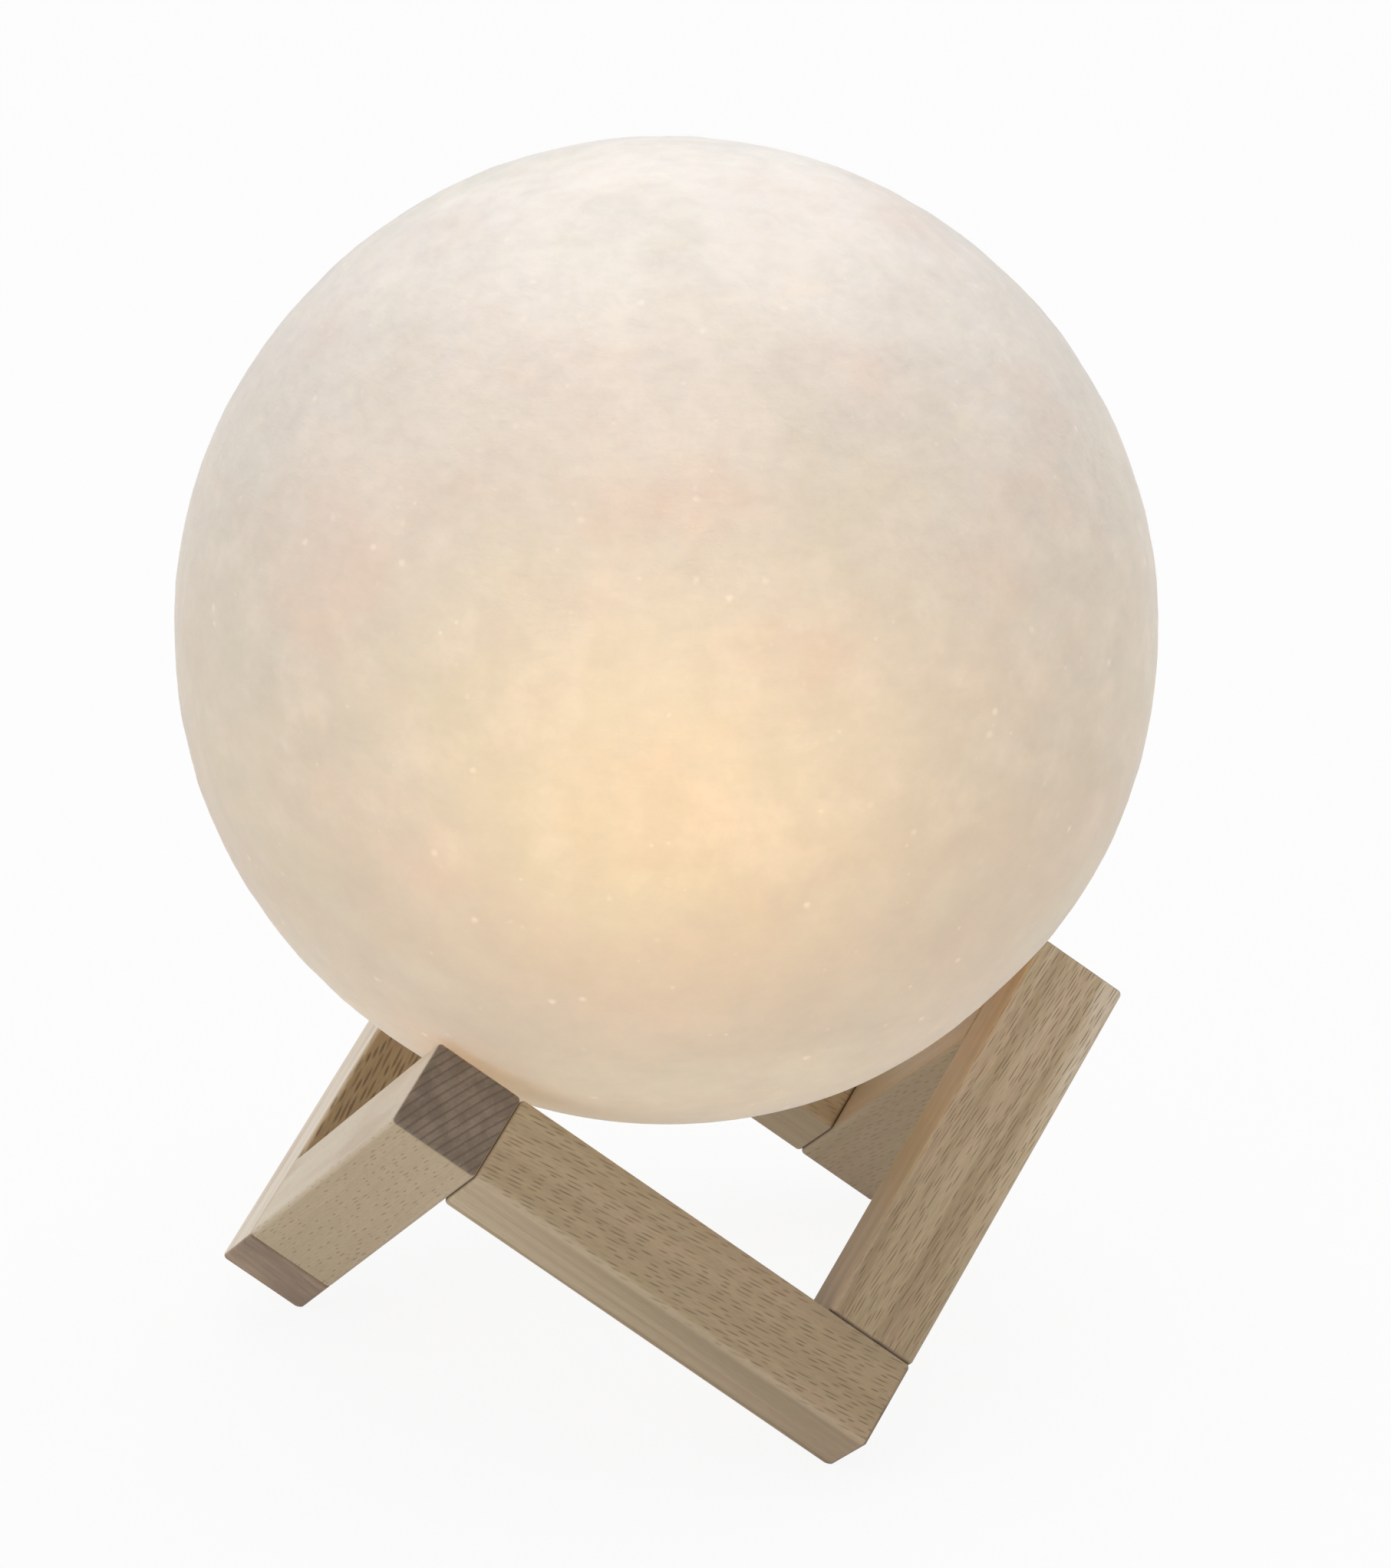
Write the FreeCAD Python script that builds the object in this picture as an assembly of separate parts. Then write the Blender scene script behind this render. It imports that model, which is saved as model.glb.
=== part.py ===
import FreeCAD, Part
import math
import os

# A glowing moon globe that rests loose on the three upper tips of a zig-zag ring of six wooden bars.
# All lengths are in millimetres and all angles in degrees.
# Origin: on the globe's axis, in the surface that the stand's three feet rest on. +Z is up.

vector = FreeCAD.Vector

# Globe: a printed sphere, open at the bottom.
globe_radius = 75.0
globe_wall = 2.0
opening_radius = 25.0

# Stand: square bars that lie on six edges of a cube, which is balanced on one of its corners.
cube_edge = 86.0
bar_width = 15.0
bar_rounding = 0.8
foot_flat_depth = 1.0
first_edge_bearing = 180.0
dowel_radius = 2.5
dowel_length = 14.0
dowel_chamfer = 0.5
dowel_end_room = 0.5

# Neck ring: glued inside the opening, takes the base cap's screws.
ring_lip = 5.5
ledge_overlap = 1.0
ring_seat_width = 5.0
ring_edge_height = 1.0
ring_boss_radius = 2.2
ring_boss_height = 4.0

# Base cap: closes the opening and carries the light module.
cap_edge_chamfer = 0.5
cap_dish_inset = 1.0
cap_dish_depth = 0.7
cap_boss_radius = 2.2
sleeve_wall = 1.6
sleeve_height = 10.0

# Screws of three kinds: head radius, head height, shank radius, shank length.
cap_screw = (1.7, 1.3, 1.0, 6.5)
board_screw = (1.9, 1.2, 0.9, 5.0)
plate_screw = (1.7, 1.2, 0.9, 6.0)
screw_count = 3
cap_screw_angle = 30.0
inner_screw_angle = 90.0

# Control board and what is soldered on it.
board_thickness = 1.6
board_standoff = 5.6
board_screw_inset = 2.5
chip_size = (5.0, 5.0, 1.0)
socket_place = (9.0, 0.0)
socket_width = 8.9
socket_depth = 3.2
socket_wall = 0.3
socket_recess = 0.4
tongue_width = 6.7
tongue_thickness = 0.7
tongue_setback = 0.6
tongue_root = 1.5
indicator_place = (0.0, -8.0)
indicator_led_size = (2.0, 1.4, 0.9)
lens_radius = 1.4
lens_flange_radius = 2.2
lens_flange_height = 0.8
lens_led_gap = 0.5

# Push button and its switch.
button_place = (-9.0, 0.0)
button_radius = 3.7
button_proud = 0.3
button_flange_radius = 4.9
button_flange_height = 1.0
button_edge_rounding = 0.4
button_travel = 0.6
switch_width = 6.0
switch_height = 3.5
plunger_radius = 1.7
plunger_engagement = 0.8

# Core housing: holds the cell upright and the lamp plate above it.
housing_floor = 1.6
housing_spigot_depth = 1.2
housing_spigot_wall = 1.1
cradle_wall = 1.2
cradle_height = 24.0
cradle_slot_width = 7.0
rib_width = 1.6
plate_boss_radius = 2.2
plate_screw_inset = 4.1
rim_above_plate = 1.2

# Cell, its pads and tabs, and the leads.
cell_radius = 8.25
cell_length = 34.0
cell_cap_radius = 2.8
cell_edge_rounding = 0.6
pad_radius = 7.0
pad_height = 1.0
tab_width = 2.0
tab_thickness = 0.3
tab_end_room = 1.2
lead_radius = 0.6
lead_half_spacing = 1.3
lead_inset = 4.3
lead_hole_radius = 2.6
cell_lead_angle = 270.0
lamp_lead_angle = 30.0

# Lamp plate, light chips and the inner diffuser.
plate_thickness = 1.2
light_chip_size = (3.5, 2.8, 0.7)
light_chip_circle = 8.0
outer_light_chips = 6
diffuser_wall = 1.4
diffuser_skirt = 3.0
diffuser_collar = 1.5
diffuser_crown = 9.0
diffuser_spigot_wall = 1.2

# Clearances.
globe_rest_gap = 0.3
glue_gap = 0.1
slip_gap = 0.3
thread_gap = 0.05
screw_hole_gap = 0.2
counterbore_gap = 0.3

# Heights in the stand, worked out from the cube's diagonal.
diagonal = math.sqrt(3)
lowest_corner_depth = (cube_edge - bar_width) / diagonal + foot_flat_depth

# Where the globe rests: each tip's upper corner is a small ball, and the globe lies on three of them.
tip_ball = vector(cube_edge - bar_rounding, cube_edge - bar_rounding, bar_width - bar_rounding)
tip_ball_rise = (tip_ball.x + tip_ball.y + tip_ball.z) / diagonal
tip_ball_reach = math.sqrt(tip_ball.Length ** 2 - tip_ball_rise ** 2)
rest_distance = globe_radius + globe_rest_gap + bar_rounding
globe_centre_height = (
    tip_ball_rise - lowest_corner_depth + math.sqrt(rest_distance ** 2 - tip_ball_reach ** 2)
)

# Radii inside the globe, from its opening inwards.
ring_seat_radius = globe_radius - globe_wall - glue_gap
ledge_radius = opening_radius + ledge_overlap
ring_outer_radius = ledge_radius + ring_seat_width
ring_bore_radius = opening_radius - ring_lip
cap_radius = opening_radius - slip_gap
cap_screw_circle = ring_bore_radius + ring_boss_radius
cap_dish_radius = ring_bore_radius - cap_dish_inset
sleeve_radius = ring_bore_radius - slip_gap
sleeve_bore_radius = sleeve_radius - sleeve_wall
board_radius = sleeve_bore_radius - slip_gap
board_screw_circle = board_radius - board_screw_inset
spigot_radius = sleeve_bore_radius - slip_gap
plate_radius = sleeve_bore_radius - slip_gap
plate_screw_circle = plate_radius - plate_screw_inset
lead_circle = sleeve_bore_radius - lead_inset
cradle_bore_radius = cell_radius + slip_gap

# Heights inside the globe, from its centre.
opening_z = -math.sqrt(globe_radius ** 2 - opening_radius ** 2)
ledge_z = -math.sqrt(ring_seat_radius ** 2 - ledge_radius ** 2)
ring_edge_z = -math.sqrt(ring_seat_radius ** 2 - ring_outer_radius ** 2)
ring_top_z = ring_edge_z + ring_edge_height
dish_z = opening_z + cap_dish_depth
board_z = ledge_z + board_standoff
board_top_z = board_z + board_thickness
sleeve_top_z = ledge_z + sleeve_height
floor_top_z = sleeve_top_z + housing_floor
low_tab_z = floor_top_z + pad_height
cell_z = low_tab_z + tab_thickness
cell_top_z = cell_z + cell_length
high_pad_z = cell_top_z + tab_thickness
plate_z = high_pad_z + pad_height
plate_top_z = plate_z + plate_thickness
rim_z = plate_top_z + rim_above_plate


def block(size, centre, bottom):
    low_corner = vector(centre[0] - size[0] / 2, centre[1] - size[1] / 2, bottom)
    return Part.makeBox(size[0], size[1], size[2], low_corner)


def rod(radius, bottom, top, centre=(0.0, 0.0)):
    return Part.makeCylinder(radius, top - bottom, vector(centre[0], centre[1], bottom))


def tube(outer_radius, bore_radius, bottom, top):
    return rod(outer_radius, bottom, top).cut(rod(bore_radius, bottom, top))


def on_circle(radius, angle):
    return (radius * math.cos(math.radians(angle)), radius * math.sin(math.radians(angle)))


def ring_of_places(radius, first_angle, count):
    return [on_circle(radius, first_angle + 360.0 * step / count) for step in range(count)]


def fused(shapes):
    return shapes[0].fuse(shapes[1:]).removeSplitter()


def edges_at_height(shape, height):
    return [edge for edge in shape.Edges if abs(edge.BoundBox.ZMin - height) < 1e-6
            and abs(edge.BoundBox.ZMax - height) < 1e-6]


def turned(edges):
    outline = Part.Wire(Part.__sortEdges__(edges))
    return Part.makeSolid(Part.Face(outline).revolve(vector(0, 0, 0), vector(0, 0, 1), 360))


def line(first, second):
    return Part.makeLine(vector(first[0], 0, first[1]), vector(second[0], 0, second[1]))


def arc(first, middle, last):
    through = [vector(point[0], 0, point[1]) for point in (first, middle, last)]
    return Part.Arc(through[0], through[1], through[2]).toShape()


def screw(kind, centre, seat, direction):
    # The head lies against the seat, and the shank runs from there in the direction +1 or -1.
    head_radius, head_height, shank_radius, shank_length = kind
    head_end = seat - direction * head_height
    head = rod(head_radius, min(seat, head_end), max(seat, head_end), centre)
    head = head.makeChamfer(head_height / 3, edges_at_height(head, head_end))
    shank_end = seat + direction * shank_length
    shank = rod(shank_radius, min(seat, shank_end), max(seat, shank_end), centre)
    return fused([head, shank])


def cube_edge_direction(bearing):
    flat = math.sqrt(2) / diagonal
    angle = math.radians(bearing)
    return vector(flat * math.cos(angle), flat * math.sin(angle), 1 / diagonal)


def stand_placement(third):
    # Takes the cube's own axes to the part's. Each third of a turn gives the next pair of bars.
    a, b, c = [cube_edge_direction(first_edge_bearing + 120 * (step + third)) for step in range(3)]
    return FreeCAD.Placement(FreeCAD.Matrix(
        a.x, b.x, c.x, 0,
        a.y, b.y, c.y, 0,
        a.z, b.z, c.z, -lowest_corner_depth,
        0, 0, 0, 1))


def rounded_bar(size, corner):
    bar = Part.makeBox(size[0], size[1], size[2], corner)
    return bar.makeFillet(bar_rounding, bar.Edges)


def dowel_hole(end, direction):
    depth = dowel_length / 2 + dowel_end_room
    return Part.makeCylinder(dowel_radius + glue_gap, depth, end, direction)


def tip_dowel_centre():
    # Where a tip bar's lower end meets the side of its foot bar.
    return vector(cube_edge - bar_width / 2, bar_width, bar_width / 2)


def foot_dowel_centre():
    # Where a foot bar's upper end meets the underside of the next tip bar.
    return vector(cube_edge - bar_width / 2, bar_width / 2, cube_edge - bar_width)


def tip_bar(third):
    # Rises to a tip that holds the globe. Its other holes belong to the foot bar under it.
    along = cube_edge - bar_width
    bar = rounded_bar((bar_width, along, bar_width), vector(along, bar_width, 0))
    bar = bar.cut(dowel_hole(tip_dowel_centre(), vector(0, 1, 0)))
    centre = foot_dowel_centre()
    side_hole = dowel_hole(vector(centre.z, centre.x, centre.y), vector(1, 0, 0))
    bar = bar.cut(side_hole)
    bar.Placement = stand_placement(third)
    return bar


def foot_bar(third):
    # Falls to a foot, whose lowest corner is cut flat where it meets the surface.
    along = cube_edge - bar_width
    bar = rounded_bar((bar_width, bar_width, along), vector(along, 0, 0))
    bar = bar.cut(dowel_hole(foot_dowel_centre(), vector(0, 0, -1)))
    bar = bar.cut(dowel_hole(tip_dowel_centre(), vector(0, -1, 0)))
    bar.Placement = stand_placement(third)
    below = Part.makeBox(4 * cube_edge, 4 * cube_edge, cube_edge,
                         vector(-2 * cube_edge, -2 * cube_edge, -cube_edge))
    return bar.cut(below)


def dowel(centre, direction):
    start = centre - direction * (dowel_length / 2)
    peg = Part.makeCylinder(dowel_radius, dowel_length, start, direction)
    ends = [edge for edge in peg.Edges if edge.Closed and edge.Length < 7 * dowel_radius]
    return peg.makeChamfer(dowel_chamfer, ends)


def stand_dowels():
    pegs = []
    for third in range(3):
        for centre, direction in ((tip_dowel_centre(), vector(0, 1, 0)),
                                  (foot_dowel_centre(), vector(0, 0, 1))):
            peg = dowel(centre, direction)
            peg.Placement = stand_placement(third)
            pegs.append(peg)
    return Part.makeCompound(pegs)


def globe_shell():
    shell = Part.makeSphere(globe_radius).cut(Part.makeSphere(globe_radius - globe_wall))
    return shell.cut(rod(opening_radius, -globe_radius - 1, 0))


def neck_ring():
    middle_radius = (ledge_radius + ring_outer_radius) / 2
    middle_z = -math.sqrt(ring_seat_radius ** 2 - middle_radius ** 2)
    bore_low = (ring_bore_radius, ledge_z)
    bore_high = (ring_bore_radius, ring_top_z)
    seat_start = (ledge_radius, ledge_z)
    seat_end = (ring_outer_radius, ring_edge_z)
    rim = (ring_outer_radius, ring_top_z)
    ring = turned([
        line(bore_low, seat_start),
        arc(seat_start, (middle_radius, middle_z), seat_end),
        line(seat_end, rim),
        line(rim, bore_high),
        line(bore_high, bore_low),
    ])
    places = ring_of_places(cap_screw_circle, cap_screw_angle, screw_count)
    boss_top = ring_top_z + ring_boss_height
    ring = fused([ring] + [rod(ring_boss_radius, ledge_z, boss_top, place) for place in places])
    for place in places:
        ring = ring.cut(rod(cap_screw[2] + thread_gap, ledge_z, boss_top, place))
    return ring


def base_cap():
    disc = rod(cap_radius, opening_z, ledge_z)
    disc = disc.makeChamfer(cap_edge_chamfer, edges_at_height(disc, opening_z))
    disc = disc.cut(rod(cap_dish_radius, opening_z, dish_z))
    bosses = ring_of_places(board_screw_circle, inner_screw_angle, screw_count)
    cap = fused([disc, tube(sleeve_radius, sleeve_bore_radius, dish_z, sleeve_top_z)]
                + [rod(cap_boss_radius, dish_z, board_z, place) for place in bosses])
    for place in bosses:
        bottom = board_top_z - board_screw[3] - thread_gap
        cap = cap.cut(rod(board_screw[2] + thread_gap, bottom, board_z, place))
    for place in ring_of_places(cap_screw_circle, cap_screw_angle, screw_count):
        cap = cap.cut(rod(cap_screw[2] + screw_hole_gap, opening_z, ledge_z, place))
        cap = cap.cut(rod(cap_screw[0] + counterbore_gap, opening_z, cap_screw_seat(), place))
    cap = cap.cut(rod(button_radius + slip_gap, opening_z, ledge_z, button_place))
    cap = cap.cut(rod(lens_radius + glue_gap, opening_z, ledge_z, indicator_place))
    return cap.cut(slot_prism(socket_width + 2 * slip_gap, socket_depth + 2 * slip_gap,
                              opening_z, ledge_z))


def cap_screw_seat():
    return opening_z + cap_screw[1] + counterbore_gap


def cap_screws():
    places = ring_of_places(cap_screw_circle, cap_screw_angle, screw_count)
    return Part.makeCompound([screw(cap_screw, place, cap_screw_seat(), 1) for place in places])


def slot_prism(length, width, bottom, top):
    # An upright prism with round ends, long in Y, at the charging socket's place.
    half_run = (length - width) / 2
    ends = [rod(width / 2, bottom, top, (socket_place[0], socket_place[1] + side * half_run))
            for side in (-1, 1)]
    middle = block((width, 2 * half_run, top - bottom), socket_place, bottom)
    return fused([middle] + ends)


def charging_socket():
    mouth_z = dish_z + socket_recess
    body = slot_prism(socket_width, socket_depth, mouth_z, board_z)
    hollow = slot_prism(socket_width - 2 * socket_wall, socket_depth - 2 * socket_wall,
                        mouth_z, board_z)
    return body.cut(hollow)


def socket_tongue():
    mouth_z = dish_z + socket_recess
    room = 2 * (socket_wall + glue_gap)
    root = slot_prism(socket_width - room, socket_depth - room, board_z - tongue_root, board_z)
    blade_bottom = mouth_z + tongue_setback
    blade = block((tongue_thickness, tongue_width, board_z - blade_bottom), socket_place,
                  blade_bottom)
    return fused([root, blade])


def control_board():
    board = rod(board_radius, board_z, board_top_z)
    for place in ring_of_places(board_screw_circle, inner_screw_angle, screw_count):
        board = board.cut(rod(board_screw[2] + screw_hole_gap, board_z, board_top_z, place))
    return board


def board_screws():
    places = ring_of_places(board_screw_circle, inner_screw_angle, screw_count)
    return Part.makeCompound([screw(board_screw, place, board_top_z, -1) for place in places])


def charge_chip():
    return block(chip_size, (0.0, 0.0), board_top_z)


def indicator_led():
    return block(indicator_led_size, indicator_place, board_z - indicator_led_size[2])


def indicator_lens():
    top = board_z - indicator_led_size[2] - lens_led_gap
    flange_top = ledge_z + lens_flange_height
    return fused([rod(lens_radius, dish_z, top, indicator_place),
                  rod(lens_flange_radius, ledge_z, flange_top, indicator_place)])


def power_button():
    face_z = dish_z - button_proud
    stem = rod(button_radius, face_z, ledge_z, button_place)
    stem = stem.makeFillet(button_edge_rounding, edges_at_height(stem, face_z))
    flange = rod(button_flange_radius, ledge_z, ledge_z + button_flange_height, button_place)
    return fused([stem, flange])


def switch_body():
    bottom = board_z - switch_height
    body = block((switch_width, switch_width, switch_height), button_place, bottom)
    bore_top = bottom + plunger_engagement + button_travel + slip_gap
    return body.cut(rod(plunger_radius + slip_gap, bottom, bore_top, button_place))


def switch_plunger():
    bottom = ledge_z + button_flange_height
    top = board_z - switch_height + plunger_engagement
    return rod(plunger_radius, bottom, top, button_place)


def core_housing():
    # One moulding: outer wall, floor, cell cradle, and three ribs that carry the plate's bosses.
    bore_radius = sleeve_bore_radius
    wall = tube(sleeve_radius, bore_radius, sleeve_top_z, rim_z)
    floor = rod(sleeve_radius, sleeve_top_z, floor_top_z)
    spigot = tube(spigot_radius, spigot_radius - housing_spigot_wall,
                  sleeve_top_z - housing_spigot_depth, sleeve_top_z)
    cradle = tube(cradle_bore_radius + cradle_wall, cradle_bore_radius, floor_top_z,
                  floor_top_z + cradle_height)
    slot = block((cradle_slot_width, cradle_bore_radius + 2 * cradle_wall, cradle_height),
                 (0.0, -(cradle_bore_radius + 2 * cradle_wall) / 2), floor_top_z)
    pieces = [wall, floor, spigot, cradle.cut(slot)]
    places = ring_of_places(plate_screw_circle, inner_screw_angle, screw_count)
    pieces += [rod(plate_boss_radius, floor_top_z, plate_z, place) for place in places]
    pieces += [rib(inner_screw_angle + 360.0 * step / screw_count) for step in range(screw_count)]
    housing = fused(pieces)
    for place in places:
        bottom = plate_top_z - plate_screw[3] - thread_gap
        housing = housing.cut(rod(plate_screw[2] + thread_gap, bottom, plate_z, place))
    for angle in (cell_lead_angle, lamp_lead_angle):
        hole = rod(lead_hole_radius, sleeve_top_z, floor_top_z, on_circle(lead_circle, angle))
        housing = housing.cut(hole)
    return housing


def rib(angle):
    inner = cradle_bore_radius + cradle_wall / 2
    outer = (sleeve_radius + sleeve_bore_radius) / 2
    web = Part.makeBox(outer - inner, rib_width, cradle_height,
                       vector(inner, -rib_width / 2, floor_top_z))
    web.rotate(vector(0, 0, 0), vector(0, 0, 1), angle)
    return web


def battery_cell():
    body_top = cell_top_z - tab_thickness
    body = rod(cell_radius, cell_z, body_top)
    body = body.makeFillet(cell_edge_rounding, edges_at_height(body, body_top))
    return fused([body, rod(cell_cap_radius, body_top, cell_top_z)])


def battery_pads():
    low = rod(pad_radius, floor_top_z, low_tab_z)
    high = rod(pad_radius, high_pad_z, plate_z)
    return Part.makeCompound([low, high])


def tab(side, bottom):
    # A strip from over the cell's centre out to just past its lead.
    far_end = lead_circle + lead_radius + tab_end_room
    return Part.makeBox(tab_width, far_end, tab_thickness,
                        vector(side * lead_half_spacing - tab_width / 2, -far_end, bottom))


def battery_tabs():
    return Part.makeCompound([tab(-1, low_tab_z), tab(1, cell_top_z)])


def lead_place(angle, side):
    x, y = on_circle(lead_circle, angle)
    across = math.radians(angle + 90)
    offset = side * lead_half_spacing
    return (x + offset * math.cos(across), y + offset * math.sin(across))


def battery_leads():
    return Part.makeCompound([
        rod(lead_radius, board_top_z, low_tab_z, lead_place(cell_lead_angle, -1)),
        rod(lead_radius, board_top_z, cell_top_z, lead_place(cell_lead_angle, 1)),
    ])


def lamp_leads():
    return Part.makeCompound([rod(lead_radius, board_top_z, plate_z, lead_place(lamp_lead_angle, side))
                              for side in (-1, 1)])


def lamp_plate():
    plate = rod(plate_radius, plate_z, plate_top_z)
    for place in ring_of_places(plate_screw_circle, inner_screw_angle, screw_count):
        plate = plate.cut(rod(plate_screw[2] + screw_hole_gap, plate_z, plate_top_z, place))
    return plate


def plate_screws():
    places = ring_of_places(plate_screw_circle, inner_screw_angle, screw_count)
    return Part.makeCompound([screw(plate_screw, place, plate_top_z, -1) for place in places])


def light_chips():
    places = [(0.0, 0.0)] + ring_of_places(light_chip_circle, 0.0, outer_light_chips)
    return Part.makeCompound([block(light_chip_size, place, plate_top_z) for place in places])


def crown_radius(base_radius, height):
    return (base_radius ** 2 + height ** 2) / (2 * height)


def crown_arc(base_radius, height, base_z):
    # A shallow dome's outline, from the axis to its base.
    radius = crown_radius(base_radius, height)
    half_angle = math.asin(base_radius / radius) / 2
    centre_z = base_z + height - radius
    middle = (radius * math.sin(half_angle), centre_z + radius * math.cos(half_angle))
    return arc((0.0, base_z + height), middle, (base_radius, base_z))


def diffuser_dome():
    outer = sleeve_radius
    inner = sleeve_radius - diffuser_wall
    skirt_z = rim_z + diffuser_skirt
    inner_crown = diffuser_crown - diffuser_wall
    dome = turned([
        crown_arc(outer, diffuser_crown, skirt_z),
        line((outer, skirt_z), (outer, rim_z)),
        line((outer, rim_z), (inner, rim_z)),
        line((inner, rim_z), (inner, skirt_z)),
        crown_arc(inner, inner_crown, skirt_z),
        line((0.0, skirt_z + inner_crown), (0.0, skirt_z + diffuser_crown)),
    ])
    spigot_bore = spigot_radius - diffuser_spigot_wall
    collar = tube(outer, spigot_bore, rim_z, rim_z + diffuser_collar)
    spigot = tube(spigot_radius, spigot_bore, plate_top_z + glue_gap, rim_z)
    return fused([dome, collar, spigot])


def save(name, shape):
    shape.exportStep("parts/" + name + ".step")


def in_globe(shape):
    shape.translate(vector(0, 0, globe_centre_height))
    return shape


os.makedirs("parts", exist_ok=True)

for third, (tip_name, foot_name) in enumerate((("front", "left"), ("right", "front"),
                                               ("rear", "rear"))):
    save("tip_bar_" + tip_name, tip_bar(third))
    save("foot_bar_" + foot_name, foot_bar(third))
save("stand_dowels", stand_dowels())

for make_piece in (globe_shell, neck_ring, base_cap, cap_screws, charging_socket, socket_tongue,
                   control_board, board_screws, charge_chip, indicator_led, indicator_lens,
                   power_button, switch_body, switch_plunger, core_housing, battery_cell,
                   battery_pads, battery_tabs, battery_leads, lamp_leads, lamp_plate,
                   plate_screws, light_chips, diffuser_dome):
    save(make_piece.__name__, in_globe(make_piece()))

print("globe centre height", round(globe_centre_height, 3))
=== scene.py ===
import math
import bpy
from mathutils import Matrix, Vector


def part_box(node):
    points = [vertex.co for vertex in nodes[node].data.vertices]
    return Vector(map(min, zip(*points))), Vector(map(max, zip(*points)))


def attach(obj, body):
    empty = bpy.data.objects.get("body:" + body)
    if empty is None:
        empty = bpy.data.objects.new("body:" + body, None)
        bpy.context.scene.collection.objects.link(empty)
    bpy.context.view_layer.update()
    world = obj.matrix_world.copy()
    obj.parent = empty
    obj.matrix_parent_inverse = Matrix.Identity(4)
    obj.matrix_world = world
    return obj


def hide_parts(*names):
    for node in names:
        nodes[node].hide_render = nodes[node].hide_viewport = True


# The moon lamp's looks: a printed globe lit from inside, six oiled beech bars, and the parts in its core.
# Every length is in metres, except inside the materials, which count in millimetres.

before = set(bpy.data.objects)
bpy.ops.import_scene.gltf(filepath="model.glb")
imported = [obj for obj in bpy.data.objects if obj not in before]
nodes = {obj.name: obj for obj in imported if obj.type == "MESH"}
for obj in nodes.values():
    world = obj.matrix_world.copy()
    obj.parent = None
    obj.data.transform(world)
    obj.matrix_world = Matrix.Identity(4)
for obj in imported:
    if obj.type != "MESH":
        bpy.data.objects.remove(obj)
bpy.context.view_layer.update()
print("frame loaded,", len(nodes), "nodes")

millimetres = 1000.0  # a metre, as the materials count it


class Value:
    # One output of a node, so that sums on it read as plain arithmetic.
    def __init__(self, finish, socket):
        self.finish = finish
        self.socket = socket

    def sum(self, operation, first, second):
        return self.finish.add("ShaderNodeMath", {"operation": operation}, [first, second])

    def __add__(self, other):
        return self.sum("ADD", self, other)

    def __radd__(self, other):
        return self.sum("ADD", other, self)

    def __sub__(self, other):
        return self.sum("SUBTRACT", self, other)

    def __rsub__(self, other):
        return self.sum("SUBTRACT", other, self)

    def __mul__(self, other):
        return self.sum("MULTIPLY", self, other)

    def __rmul__(self, other):
        return self.sum("MULTIPLY", other, self)

    def __truediv__(self, other):
        return self.sum("DIVIDE", self, other)

    def __pow__(self, other):
        return self.sum("POWER", self, other)

    def __abs__(self):
        return self.finish.add("ShaderNodeMath", {"operation": "ABSOLUTE"}, [self])


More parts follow.
